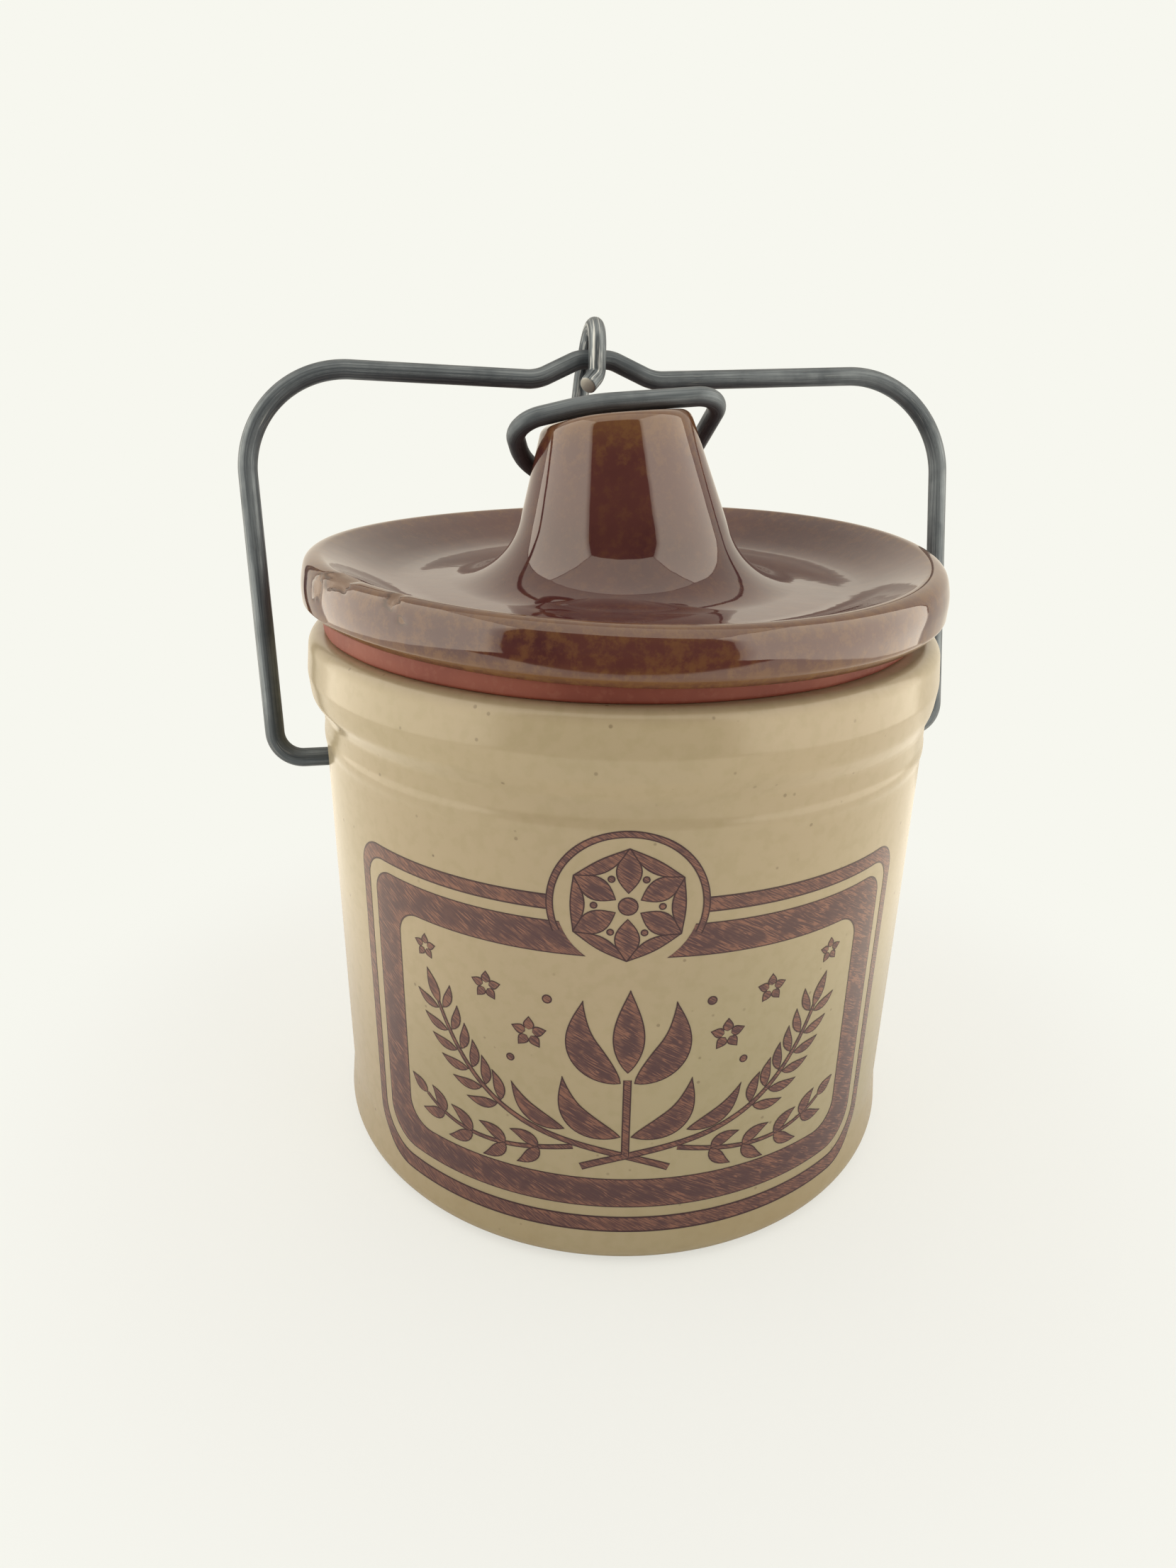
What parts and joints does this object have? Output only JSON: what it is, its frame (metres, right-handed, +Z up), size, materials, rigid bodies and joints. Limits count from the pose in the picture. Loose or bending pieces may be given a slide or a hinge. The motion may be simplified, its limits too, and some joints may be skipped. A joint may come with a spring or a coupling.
{
  "type": "sourdough starter jar",
  "caption": "Round glazed stoneware crock with a knobbed lid, rubber ring and a wire bail whose hooked lever clamps the lid down.",
  "frame": {"origin": "on the table under the crock's axis, at the centre of the foot ring", "axes": "+Z up along the crock's axis; +X along the bail's pivot line, to the right seen from the front; -Y is the front, where the printed panel is"},
  "size_m": [0.1504, 0.1266, 0.1666],
  "materials": {
    "crock_glaze": "gloss",
    "lid_glaze": "gloss",
    "gasket_rubber": "matte",
    "bail_wire": "satin",
    "lever_wire": "satin"
  },
  "bodies": {
    "crock": {"crock": "crock_glaze"},
    "lid": {"lid": "lid_glaze", "gasket": "gasket_rubber"},
    "bail": {"bail": "bail_wire"},
    "lever": {"lever": "lever_wire"}
  },
  "joints": [
    {"name": "bail_swing", "type": "hinge", "parent": "crock", "child": "bail", "pos_m": [0, 0, 0.0831], "axis": [-1, 0, 0], "range_deg": [0, 84]},
    {"name": "lever_flip", "type": "hinge", "parent": "bail", "child": "lever", "pos_m": [-0.0026, 0.02307, 0.15855], "axis": [-1, 0, 0], "range_deg": [0, 210]},
    {"name": "lid_lift", "type": "slide", "parent": "crock", "child": "lid", "axis": [0, -0.766, 0.6428], "range_m": [0, 0.0176]}
  ],
  "couplings": [
    {"joint": "lever_flip", "follows": "bail_swing", "ratio": 2.5},
    {"joint": "lid_lift", "follows": "bail_swing", "m_per_rad": 0.012}
  ]
}
